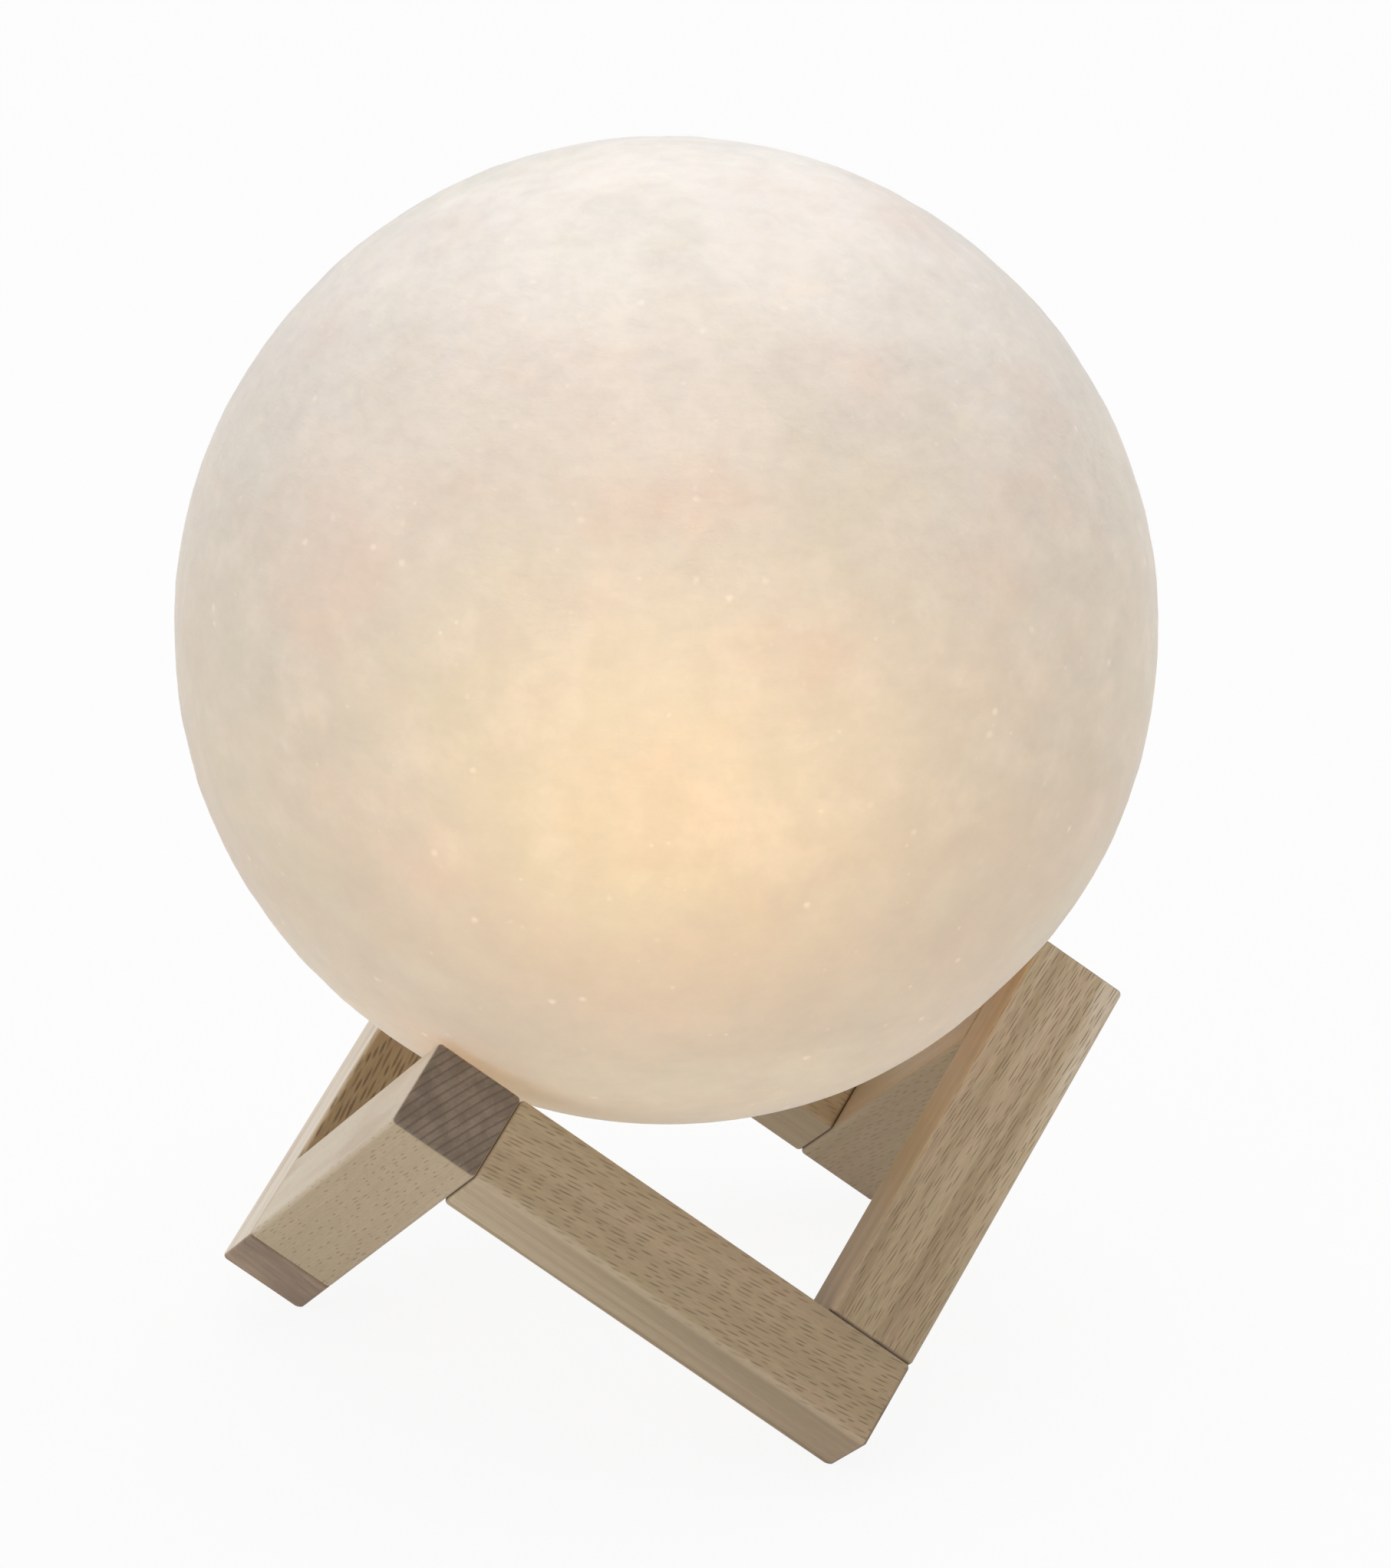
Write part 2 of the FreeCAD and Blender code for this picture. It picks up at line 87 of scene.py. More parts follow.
class Finish:
    # A material under construction.
    def __init__(self, name):
        self.material = bpy.data.materials.new(name)
        self.material.use_nodes = True
        self.tree = self.material.node_tree
        self.tree.nodes.clear()

    def add(self, kind, settings, inputs, output=0):
        node = self.tree.nodes.new(kind)
        for key, value in settings.items():
            if key == "stops":
                self.setStops(node.color_ramp, value)
            else:
                setattr(node, key, value)
        pairs = inputs.items() if isinstance(inputs, dict) else enumerate(inputs)
        for key, value in pairs:
            if isinstance(value, Value):
                self.tree.links.new(value.socket, node.inputs[key])
            else:
                node.inputs[key].default_value = value
        return None if output is None else Value(self, node.outputs[output])

    def setStops(self, ramp, stops):
        while len(ramp.elements) < len(stops):
            ramp.elements.new(1.0)
        for element, (place, colour) in zip(ramp.elements, stops):
            element.position = place
            element.color = (*colour, 1.0)

    def places(self, offset=(0.0, 0.0, 0.0), turn=(0.0, 0.0, 0.0)):
        # Object coordinates in millimetres, turned, then moved.
        here = self.add("ShaderNodeTexCoord", {}, {}, "Object")
        return self.add("ShaderNodeMapping", {"vector_type": "POINT"},
                        {"Vector": here, "Location": offset, "Rotation": turn, "Scale": (millimetres,) * 3})

    def parts(self, vector):
        split = self.add("ShaderNodeSeparateXYZ", {}, [vector])
        return [Value(self, output) for output in split.socket.node.outputs]

    def joined(self, x, y, z):
        return self.add("ShaderNodeCombineXYZ", {}, [x, y, z])

    def stretched(self, vector, factors):
        return self.add("ShaderNodeVectorMath", {"operation": "MULTIPLY"}, [vector, factors])

    def along(self, vector, direction):
        # How far a place lies along a direction.
        return self.add("ShaderNodeVectorMath", {"operation": "DOT_PRODUCT"},
                        [vector, tuple(direction)], "Value")

    def facing(self, direction):
        # How far the surface faces a direction of the part's frame, from -1 to 1.
        normal = self.add("ShaderNodeTexCoord", {}, {}, "Normal")
        return self.along(normal, direction)

    def noise(self, vector, scale=1.0, detail=2.0, roughness=0.5, distortion=0.0):
        return self.add("ShaderNodeTexNoise", {},
                        {"Vector": vector, "Scale": scale, "Detail": detail,
                         "Roughness": roughness, "Distortion": distortion})

    def sway(self, vector, scale=1.0, detail=2.0, roughness=0.5, distortion=0.0):
        # Noise that swings to both sides of nought.
        return self.noise(vector, scale, detail, roughness, distortion) - 0.5

    def moved(self, vector, scale, reach):
        # Coordinates that wander by up to about half of reach, so that round spots come out ragged.
        drift = self.add("ShaderNodeTexNoise", {}, {"Vector": vector, "Scale": scale}, "Color")
        drift = self.add("ShaderNodeVectorMath", {"operation": "SUBTRACT"}, [drift, (0.5, 0.5, 0.5)])
        drift = self.shaded(drift, reach)
        return self.add("ShaderNodeVectorMath", {"operation": "ADD"}, [vector, drift])

    def cells(self, vector, scale=1.0):
        # Distance to the nearest cell's middle, and a random number for each cell.
        settings = {"voronoi_dimensions": "3D", "feature": "F1"}
        distance = self.add("ShaderNodeTexVoronoi", settings, {"Vector": vector, "Scale": scale})
        colour = Value(self, distance.socket.node.outputs["Color"])
        return distance, self.add("ShaderNodeSeparateColor", {}, [colour])

    def lot(self, number):
        # A random number for each whole number.
        return self.add("ShaderNodeTexWhiteNoise", {"noise_dimensions": "1D"}, {"W": number})

    def whole(self, value):
        return self.add("ShaderNodeMath", {"operation": "FLOOR"}, [value])

    def slope(self, value, start, end):
        # 0 at start, 1 at end, smooth between them and flat beyond. End may be the lower of the two.
        rising = start < end
        return self.add("ShaderNodeMapRange", {"interpolation_type": "SMOOTHSTEP"},
                        {"Value": value, "From Min": min(start, end), "From Max": max(start, end),
                         "To Min": 0.0 if rising else 1.0, "To Max": 1.0 if rising else 0.0})

    def clamped(self, value):
        return self.add("ShaderNodeClamp", {}, [value])

    def ramp(self, value, stops):
        return self.add("ShaderNodeValToRGB", {"stops": stops}, [value])

    def mixed(self, factor, first, second):
        sockets = {0: factor, 6: self.colour(first), 7: self.colour(second)}
        return self.add("ShaderNodeMix", {"data_type": "RGBA"}, sockets, 2)

    def shaded(self, colour, factor):
        # A colour or vector times a number.
        return self.add("ShaderNodeVectorMath", {"operation": "SCALE"},
                        {"Vector": colour, "Scale": factor})

    def colour(self, value):
        return value if isinstance(value, Value) else (*value, 1.0)

    def bump(self, height, strength, depth):
        # The depth is in millimetres.
        return self.add("ShaderNodeBump", {},
                        {"Height": height, "Strength": strength, "Distance": depth / millimetres})

    def done(self, **sockets):
        named = {key.replace("_", " "): value for key, value in sockets.items()}
        for key in ("Base Color", "Emission Color"):
            if key in named:
                named[key] = self.colour(named[key])
        surface = self.add("ShaderNodeBsdfPrincipled", {}, named, "BSDF")
        self.add("ShaderNodeOutputMaterial", {}, {"Surface": surface}, None)
        return self.material


def coat(name, material):
    # A CAD node keeps its mesh and gets this one material.
    mesh = nodes[name].data
    mesh.materials.clear()
    mesh.materials.append(material)


# Wooden bars. Each lies along an edge of a cube that stands on its corner; an edge is named by its bearing.
# Lengths here are in millimetres. Tone 0 is the palest wood, 1 the darkest.
plainCut = {
    "face": 300,  # the cube's edge that the growth rings face, before the turn in degrees
    "stray": 1.3,  # how far a ring strays from round
    "waves": 0.6,  # how far the fibres wander
    "late": 0.08,  # strength of the rings' late lines
    "bands": 0.30,  # tone of the bands where the rings are cut flat
    "sideBands": 0.25,  # and where they are cut square
    "dashFace": "outward",  # the faces that show the rays as dashes
    "dash": (2.3, 0.24),  # length and width
    "pitch": (3.8, 0.70),  # spacing along and across the grain
    "share": 0.8,  # how many of the dashes are there
    "rays": 0.50,  # how dark they are
    "fibre": 0.06,
    "tone": 0.56,
    "toneAndShadeOut": 0.0,  # added where the face looks outward, taken off where it looks inward; partly the grain's cut, partly painted light and shade
    "toneAndShadeFlat": 0.0,  # added on both of those faces; partly the grain's cut, partly painted shade
    # the next is added where the face looks across the rings and taken off on the other side; partly
    # painted light and shade
    "toneAndShadeAcross": 0.0,
    "fade": 0.0,  # tone for each millimetre along the grain
    "fadeSide": 0.0,  # the same, only on the faces that cut the rings square
    "endTone": 1.1,
    "endBands": 0.3,
    "endLate": 0.5,
    "endWarm": 0.3,
}

barCuts = {
    "tip_bar_front": {
        **plainCut, "grain": 300, "face": 180, "turn": -27, "lean": 0.04, "pith": (150.0, -4.0),
        "ring": 1.30, "stray": 0.5, "waves": 0.4, "late": 0.06, "bands": 0.06, "sideBands": 0.26,
        "dashFace": "across", "dash": (1.7, 0.20), "pitch": (4.2, 0.52), "share": 0.55, "rays": 0.62,
        "tone": 0.31, "toneAndShadeOut": -0.20, "toneAndShadeAcross": 0.05,
        "endTone": 0.92, "endBands": 0.20, "endLate": 0.68, "endWarm": 0.0, "seed": 3.1,
    },
    "foot_bar_left": {
        **plainCut, "grain": 60, "turn": 6, "lean": 0.075, "pith": (52.0, -8.0),
        "ring": 3.4, "waves": 0.5, "late": 0.10, "bands": 0.28,
        "dash": (3.9, 0.40), "pitch": (5.6, 0.72), "share": 1.0, "rays": 1.0, "fibre": 0.08,
        "tone": 0.43, "toneAndShadeFlat": 0.35, "toneAndShadeAcross": 0.42,
        "endTone": 1.26, "endBands": 0.9, "endLate": 0.15, "endWarm": 0.85, "seed": 11.7,
    },
    "foot_bar_front": {
        **plainCut, "grain": 180, "turn": 4, "lean": 0.14, "pith": (48.0, -14.0),
        "ring": 2.9, "waves": 0.4, "late": 0.10, "bands": 0.45, "sideBands": 0.85,
        "dash": (2.2, 0.25), "pitch": (3.5, 0.66), "share": 0.85, "rays": 0.74, "fibre": 0.07,
        # The fades on this bar paint shade: it grows darker towards one end, most on the faces that cut the
        # rings square.
        "tone": 0.70, "toneAndShadeFlat": -0.10, "toneAndShadeAcross": 0.04, "fade": -0.0012, "fadeSide": -0.0045,
        "seed": 23.4,
    },
    "tip_bar_right": {
        **plainCut, "grain": 60, "turn": -10, "lean": -0.05, "pith": (60.0, 16.0),
        "ring": 3.1, "waves": 1.0, "late": 0.12, "bands": 1.4, "sideBands": 0.12,
        "dash": (3.5, 0.18), "pitch": (4.6, 0.47), "share": 0.75, "rays": 0.78, "fibre": 0.13,
        "tone": 0.57, "toneAndShadeAcross": -0.06, "fade": -0.0048, "seed": 37.9,
    },
    "tip_bar_rear": {
        **plainCut, "grain": 180, "turn": -6, "lean": 0.10, "pith": (44.0, 10.0),
        "ring": 2.6, "toneAndShadeOut": -0.03, "seed": 47.2,
    },
    "foot_bar_rear": {
        **plainCut, "grain": 300, "face": 60, "turn": 8, "lean": 0.08, "pith": (50.0, -4.0),
        "ring": 2.8, "toneAndShadeOut": 0.02, "seed": 59.6,
    },
}

beech = {
    "tones": [(0.0, (0.84, 0.75, 0.63)), (0.35, (0.56, 0.445, 0.29)), (0.65, (0.40, 0.30, 0.18)),
              (1.0, (0.24, 0.165, 0.095))],
    "pink": (0.50, 0.345, 0.235),
    "pinkSpan": (0.46, 0.72),
    "pinkShare": 0.40,
    "latewood": (0.24, 0.165, 0.10),
    "lateRise": (0.60, 0.95),  # shares of a ring's width
    "lateFall": (1.0, 0.95),
    "lateFlatLoss": 0.6,
    "ringTone": 0.3,  # how far the rings' own tones differ, on the faces and on the ends
    "endRingTone": 0.5,
    "ray": (0.135, 0.082, 0.045),
    "rayFacing": (0.30, 0.85),  # how squarely a face cuts the rays before it shows them
    "rayShare": 0.8,
    "rates": {  # how fast each pattern changes, per millimetre along the grain, outward and across
        "drift": (0.035, 0.05, 0.05),
        "fibre": (0.13, 4.0, 4.0),
        "band": (0.010, 0.34, 0.34),
        "blush": (0.022, 0.16, 0.16),
        "endStreak": (0.1, 0.55, 0.12),
    },
    "strayNoise": (0.12, 3.0),  # a noise's scale, detail and roughness
    "chipNoise": (0.9, 3.0),
    "cloudNoise": (0.35, 4.0, 0.6),
    "speckleNoise": (4.5, 3.0, 0.7),
    "chipSize": 0.7,
    "edge": (0.62, 0.51, 0.37),  # where hands and sanding have worn the edges pale, with a painted highlight along them as well
    "edgeWearAndHighlightShare": 0.30,
    "edgeSpan": (13.9, 14.5),  # offsets from both middle planes, added up; a sharp edge has 15
    "end": (0.20, 0.150, 0.108),
    "endPale": (0.28, 0.215, 0.16),
    "endWarm": (0.27, 0.185, 0.12),
    "endRing": (0.095, 0.070, 0.052),
    "endRay": (0.33, 0.27, 0.21),
    "endRayShare": 0.30,
    "endRayCell": (10.0, 1.1, 0.28),  # spacing along the grain, outward and across
    "endRayOutline": (0.36, 0.16),
    "endRayChance": (0.35, 0.9),
    "endCloudSpan": (0.35, 0.70),
    "endSpan": (0.45, 0.12),  # depths below the end at which the dark end grain starts and is full
    "roughness": 0.56,
    "gloss": 0.35,
    "bump": 0.55,
    "bumpDepth": 0.08,
}

# Rays are ribbons of denser wood that run out from the pith; cut across, each is a thin dark dash.
rayDash = {
    "rowStart": 9.0,  # how far one row's start may lie from the next, in spacings
    "shift": 0.3,  # and a dash from its own place
    "length": (0.5, 0.9),  # shortest, and what chance adds
    "stagger": 0.35,
    "outline": (1.35, 0.55),
    "chance": (1.0, 1.15),
    "depth": (0.7, 0.3),
    "fineSize": 0.5,  # the finer dashes between, as shares of the others
    "finePitch": 0.55,
    "fineShare": 0.6,
    "fineDepth": 0.3,
    "fineShift": 31.7,
}


def rayDashes(finish, along, across, size, pitch, share):
    # Dashes laid like bricks, each row with a start of its own.
    rows = across / pitch[1]
    row = finish.whole(rows)
    run = along / pitch[0] + finish.lot(row) * rayDash["rowStart"]
    brick = finish.whole(run)
    lots = finish.add("ShaderNodeTexWhiteNoise", {"noise_dimensions": "2D"},
                      {"Vector": finish.joined(brick, row, 0.0)}, "Color")
    stretch, shift, chance = finish.parts(lots)
    shortest, longer = rayDash["length"]
    length = (run - brick - 0.5 + (shift - 0.5) * rayDash["shift"]) / (stretch * longer + shortest)
    length = length * (2.0 * pitch[0] / size[0])
    width = rows - row - 0.5 + (stretch - 0.5) * rayDash["stagger"]
    width = width * (2.0 * pitch[1] / size[1])
    shape = finish.slope((length * length + width * width) ** 0.5, *rayDash["outline"])
    there = finish.slope(chance, *[bound - share for bound in rayDash["chance"]])
    return shape * (there * rayDash["depth"][0] + rayDash["depth"][1] * shift)


def cubeEdge(bearing):
    angle = math.radians(bearing)
    flat = math.sqrt(2.0 / 3.0)
    return Vector((flat * math.cos(angle), flat * math.sin(angle), math.sqrt(1.0 / 3.0)))


def crossEdges(cut):
    # The two edges of the cube that lie across a bar.
    return [cubeEdge(bearing) for bearing in (60, 180, 300) if bearing != cut["grain"]]


def barAxes(cut):
    # Rows: along the grain, out through the growth rings, and across both.
    grain = cubeEdge(cut["grain"])
    face = Matrix.Rotation(math.radians(cut["turn"]), 3, grain) @ cubeEdge(cut["face"])
    return Matrix((grain, face, grain.cross(face)))


def barLength(name, axes):
    spread = [axes[0].dot(vertex.co) for vertex in nodes[name].data.vertices]
    return (max(spread) - min(spread)) * millimetres


def beechFinish(name):
    cut = barCuts[name]
    finish = Finish("beech_" + name)
    axes = barAxes(cut)
    low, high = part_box(name)
    middle = (low + high) / 2 * millimetres
    seed = cut["seed"]
    place = finish.places(offset=-(axes @ middle), turn=axes.to_euler())
    along, outward, across = finish.parts(place)
    outFace, acrossFace = finish.facing(axes[1]), finish.facing(axes[2])
    flatness = abs(outFace)  # 1 on the faces that cut the rings flat, 0 on those that cut them square
    squareness = 1.0 - flatness

    def paced(pattern, out, side):
        rates = beech["rates"][pattern]
        return along * rates[0], out * rates[1], side * rates[2]

    # The fibres wander a little.
    x, y, z = paced("drift", outward, across)
    wander = finish.sway(finish.joined(x + seed, y, z)) * cut["waves"] * 2.0
    ringward = outward + wander
    sideways = across + wander

    # Growth rings about the pith, each with a tone of its own and a thin late line.
    pithDepth, pithShift = cut["pith"]
    up = ringward + pithDepth
    side = sideways - pithShift
    reach = (up * up + side * side) ** 0.5 + finish.sway(place, *beech["strayNoise"]) * cut["stray"]
    count = reach / cut["ring"] + seed
    phase = finish.add("ShaderNodeMath", {"operation": "FRACT"}, [count])
    ringLot = finish.lot(finish.whole(count)) - 0.5
    late = finish.slope(phase, *beech["lateRise"]) * finish.slope(phase, *beech["lateFall"])

    # Dashes of the rays, and shorter fainter ones between them.
    dashFace, dashSide = (outFace, sideways) if cut["dashFace"] == "outward" else (acrossFace, ringward)
    leaning = along * cut["lean"]
    dashSide = dashSide + leaning + seed
    fineSide = dashSide + rayDash["fineShift"]
    fineSize = [measure * rayDash["fineSize"] for measure in cut["dash"]]
    finePitch = [measure * rayDash["finePitch"] for measure in cut["pitch"]]
    coarse = rayDashes(finish, along, dashSide, cut["dash"], cut["pitch"], cut["share"])
    fine = rayDashes(finish, along, fineSide, fineSize, finePitch, rayDash["fineShare"])
    dashes = finish.clamped(coarse + fine * rayDash["fineDepth"])
    dashes = dashes * finish.slope(abs(dashFace), *beech["rayFacing"]) * cut["rays"]

    # Fibres, broad bands and a pink blush.
    x, y, z = paced("fibre", ringward, sideways + leaning)
    fibre = finish.sway(finish.joined(x, y + seed, z), detail=3.0, roughness=0.6)
    x, y, z = paced("band", ringward, sideways)
    band = finish.sway(finish.joined(x, y, z + seed), detail=3.0)
    x, y, z = paced("blush", ringward, sideways)
    blush = finish.noise(finish.joined(x + seed, y, z))

    fade = (squareness * cut["fadeSide"] + cut["fade"]) * along
    stripes = band * flatness * cut["bands"]
    stripes = stripes + (band + ringLot * beech["ringTone"]) * squareness * cut["sideBands"]
    # Each face's tone is partly the grain's cut and partly painted light and shade: faces are paler or
    # darker by how the light falls on them.
    tone = (stripes + fade + cut["tone"] + outFace * cut["toneAndShadeOut"]
            + acrossFace * cut["toneAndShadeAcross"] + flatness * cut["toneAndShadeFlat"])
    colour = finish.ramp(finish.clamped(tone), beech["tones"])
    pinkness = finish.slope(blush, *beech["pinkSpan"]) * beech["pinkShare"]
    colour = finish.mixed(pinkness, colour, beech["pink"])
    lateShare = late * (1.0 - flatness * beech["lateFlatLoss"]) * cut["late"]
    colour = finish.mixed(lateShare, colour, beech["latewood"])
    colour = finish.shaded(colour, fibre * (cut["fibre"] * 4.0) + 1.0)
    colour = finish.mixed(dashes * beech["rayShare"], colour, beech["ray"])

    # Edges rubbed pale, with a painted highlight along them as well.
    here = finish.places(offset=-middle)
    first, second = [abs(finish.along(here, edge)) for edge in crossEdges(cut)]
    chips = finish.sway(place, *beech["chipNoise"]) * beech["chipSize"]
    edge = finish.slope(first + second + chips, *beech["edgeSpan"])
    colour = finish.mixed(edge * beech["edgeWearAndHighlightShare"], colour, beech["edge"])

    # End grain: it drinks more oil, so it is dark and shows its rings, crossed by fine pale rays.
    halfLength = barLength(name, axes) / 2
    end = finish.slope(abs(along), *[halfLength - depth for depth in beech["endSpan"]])
    cloud = finish.noise(place, *beech["cloudNoise"])
    speckle = finish.noise(place, *beech["speckleNoise"])
    streak = finish.sway(finish.joined(*paced("endStreak", ringward, sideways)), detail=3.0, roughness=0.6)
    endBands = (ringLot * beech["endRingTone"] + streak) * cut["endBands"]
    endLight = (speckle * 0.5 + endBands + 0.75) * cut["endTone"]
    endColour = finish.mixed(finish.slope(cloud, *beech["endCloudSpan"]), beech["end"], beech["endPale"])
    endColour = finish.mixed(cut["endWarm"], endColour, beech["endWarm"])
    endColour = finish.shaded(endColour, endLight)
    endColour = finish.mixed(late * cut["endLate"], endColour, beech["endRing"])
    deep, out, side = beech["endRayCell"]
    spoke, spokeChance = finish.cells(finish.joined(along / deep, ringward / out, sideways / side))
    endRay = finish.slope(spoke, *beech["endRayOutline"])
    endRay = endRay * finish.slope(spokeChance, *beech["endRayChance"])
    endColour = finish.mixed(endRay * beech["endRayShare"], endColour, beech["endRay"])
    colour = finish.mixed(end, colour, endColour)

    height = fibre * 0.5 - dashes * 0.8 - late * 0.15 + speckle * end * 0.8
    return finish.done(Base_Color=colour, Roughness=beech["roughness"] - fibre * 0.2,
                       Specular_IOR_Level=beech["gloss"],
                       Normal=finish.bump(height, beech["bump"], beech["bumpDepth"]))


for name in barCuts:
    coat(name, beechFinish(name))
print("six bars finished")


# Working on meshes.
def deselectAll():
    bpy.ops.object.select_all(action="DESELECT")


def chooseOnly(piece):
    deselectAll()
    piece.select_set(True)
    bpy.context.view_layer.objects.active = piece


def applyPlace(piece):
    chooseOnly(piece)
    bpy.ops.object.transform_apply(location=True, rotation=True, scale=True)


def applyModifier(piece, kind, settings):
    modifier = piece.modifiers.new(kind.title(), kind)
    for key, value in settings.items():
        setattr(modifier, key, value)
    bpy.context.view_layer.objects.active = piece
    bpy.ops.object.modifier_apply(modifier=modifier.name)


def editFaces(mesh, wanted):
    # Chooses faces, and their corners with them, and goes to edit mode.
    for face in mesh.polygons:
        face.select = wanted(face)
    for edge in mesh.edges:
        edge.select = False
    for vertex in mesh.vertices:
        vertex.select = False
    for face in mesh.polygons:
        if face.select:
            for index in face.vertices:
                mesh.vertices[index].select = True
    bpy.ops.object.mode_set(mode="EDIT")


def leaveEdit():
    bpy.ops.object.mode_set(mode="OBJECT")


# Screws under the globe: a rounded head with a cross recess, and a plain shank up into the ring.
capScrew = {
    "sides": 40,
    "headRadius": 0.00166,
    "headHeight": 0.0012,
    "rounding": 0.00035,
    "roundingSteps": 4,
    "shankRadius": 0.00095,
    "shankLength": 0.0062,
    "tipInset": 0.4,  # of the shank's radius
    "tipRise": 0.3,
    "crossLength": 0.0021,
    "crossWidth": 0.00050,
    "crossDepth": 0.00075,
    "crossTaper": 0.62,
    "firstTurn": 0.4,  # radians; the driver left each screw at an angle of its own
    "nextTurn": 1.1,
    "smoothAngle": 35,
}


def makeCross(seat):
    # Two tapered blades crossed at the head's face, which cut the recess.
    face = seat - capScrew["headHeight"]
    taper = capScrew["crossTaper"]
    blades = []
    for angle in (0.0, math.pi / 2):
        deselectAll()
        bpy.ops.mesh.primitive_cube_add(size=1.0, location=(0, 0, face), rotation=(0, 0, angle))
        blade = bpy.context.object
        blade.scale = (capScrew["crossLength"], capScrew["crossWidth"], capScrew["crossDepth"] * 2)
        applyPlace(blade)
        editFaces(blade.data, lambda side: side.normal.z > 0.9)
        bpy.ops.transform.resize(value=(taper, taper, 1.0))
        leaveEdit()
        blades.append(blade)
    return blades


def makeScrew(seat):
    height, radius = capScrew["headHeight"], capScrew["headRadius"]
    shank = capScrew["shankRadius"]
    deselectAll()
    bpy.ops.mesh.primitive_cylinder_add(vertices=capScrew["sides"], radius=radius, depth=height,
                                        location=(0, 0, seat - height / 2))
    screw = bpy.context.object
    applyPlace(screw)
    editFaces(screw.data, lambda face: face.normal.z > 0.9)
    bpy.ops.mesh.inset(thickness=radius - shank)
    bpy.ops.mesh.extrude_region_move(TRANSFORM_OT_translate={"value": (0, 0, capScrew["shankLength"])})
    bpy.ops.mesh.inset(thickness=shank * capScrew["tipInset"])
    bpy.ops.transform.translate(value=(0, 0, shank * capScrew["tipRise"]))
    leaveEdit()
    editFaces(screw.data, lambda face: face.normal.z < -0.9 and face.center.z < seat - height * 0.9)
    bpy.ops.mesh.bevel(offset=capScrew["rounding"], segments=capScrew["roundingSteps"], affect="EDGES")
    leaveEdit()
    for blade in makeCross(seat):
        applyModifier(screw, "BOOLEAN", {"object": blade, "operation": "DIFFERENCE", "solver": "EXACT"})
        bpy.data.objects.remove(blade)
    return screw


def screwPlaces():
    # The middle of each of the node's three screws, and the height of the seat under their heads.
    points = [vertex.co for vertex in nodes["cap_screws"].data.vertices]
    thirds = {}
    for point in points:
        bearing = math.degrees(math.atan2(point.y, point.x)) % 360
        thirds.setdefault(int(bearing // 120), []).append(point)
    middles = []
    for third in sorted(thirds):
        xs = [point.x for point in thirds[third]]
        ys = [point.y for point in thirds[third]]
        middles.append(((min(xs) + max(xs)) / 2, (min(ys) + max(ys)) / 2))
    headEdge = capScrew["headRadius"] * 0.99
    headHeights = [point.z for point in points
                   if min(math.dist((point.x, point.y), middle) for middle in middles) > headEdge]
    return middles, max(headHeights)


def makeCapScrews():
    middles, seat = screwPlaces()
    first = makeScrew(seat)
    screws = [first]
    for _ in middles[1:]:
        screw = first.copy()
        screw.data = first.data.copy()
        bpy.context.scene.collection.objects.link(screw)
        screws.append(screw)
    for step, (screw, (x, y)) in enumerate(zip(screws, middles)):
        screw.rotation_euler = (0, 0, capScrew["firstTurn"] + step * capScrew["nextTurn"])
        screw.location = (x, y, 0)
    deselectAll()
    for screw in screws:
        screw.select_set(True)
    bpy.context.view_layer.objects.active = first
    bpy.ops.object.join()
    first.name = "cap_screw_set"
    applyPlace(first)
    bpy.ops.object.shade_smooth_by_angle(angle=math.radians(capScrew["smoothAngle"]))
    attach(first, "globe")
    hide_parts("cap_screws")
    return first


capScrewSet = makeCapScrews()
print("cap screws made,", len(capScrewSet.data.polygons), "faces")


# Globe: a hollow print with a soft relief, all of it inwards, so that the globe keeps its size.
globePrint = {
    "subdivisions": 7,
    "skin": 0.00016,  # kept inside the CAD sphere
    "wall": 0.0018,
    "plainRim": 0.0055,  # height above the opening that keeps no relief
    "fullRelief": 0.016,
    "relief": [  # size of the texture and height, both in metres
        {"name": "seas", "size": 0.040, "height": 0.00055, "depth": 2},
        {"name": "swells", "size": 0.012, "height": 0.00035, "depth": 3},
        {"name": "grain", "size": 0.0042, "height": 0.00022, "depth": 2},
    ],
    "smoothAngle": 40,
}


def globeForm():
    # Its middle, its radius, and the height of the opening.
    low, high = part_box("globe_shell")
    radius = (high.x - low.x) / 2
    return Vector((0, 0, high.z - radius)), radius, low.z


def reliefGroup(piece, openingHeight):
    group = piece.vertex_groups.new(name="relief")
    start, full = globePrint["plainRim"], globePrint["fullRelief"]
    for vertex in piece.data.vertices:
        rise = (vertex.co.z - openingHeight - start) / (full - start)
        group.add([vertex.index], min(max(rise, 0.0), 1.0), "REPLACE")
    return group.name


def makeGlobe():
    centre, radius, openingHeight = globeForm()
    deselectAll()
    bpy.ops.mesh.primitive_ico_sphere_add(subdivisions=globePrint["subdivisions"],
                                          radius=radius - globePrint["skin"], location=centre)
    globe = bpy.context.object
    globe.name = "moon_globe"
    applyPlace(globe)
    bpy.ops.object.mode_set(mode="EDIT")
    bpy.ops.mesh.select_all(action="SELECT")
    bpy.ops.mesh.bisect(plane_co=(0, 0, openingHeight), plane_no=(0, 0, 1), clear_inner=True)
    leaveEdit()
    group = reliefGroup(globe, openingHeight)
    for layer in globePrint["relief"]:
        texture = bpy.data.textures.new(layer["name"], "CLOUDS")
        texture.noise_scale = layer["size"]
        texture.noise_depth = layer["depth"]
        applyModifier(globe, "DISPLACE", {"texture": texture, "texture_coords": "LOCAL",
                                          "strength": layer["height"], "mid_level": 1.0,
                                          "vertex_group": group})
    applyModifier(globe, "SOLIDIFY", {"thickness": globePrint["wall"], "offset": -1.0,
                                      "use_quality_normals": True})
    chooseOnly(globe)
    bpy.ops.object.shade_smooth_by_angle(angle=math.radians(globePrint["smoothAngle"]))
    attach(globe, "globe")
    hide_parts("globe_shell")
    return globe


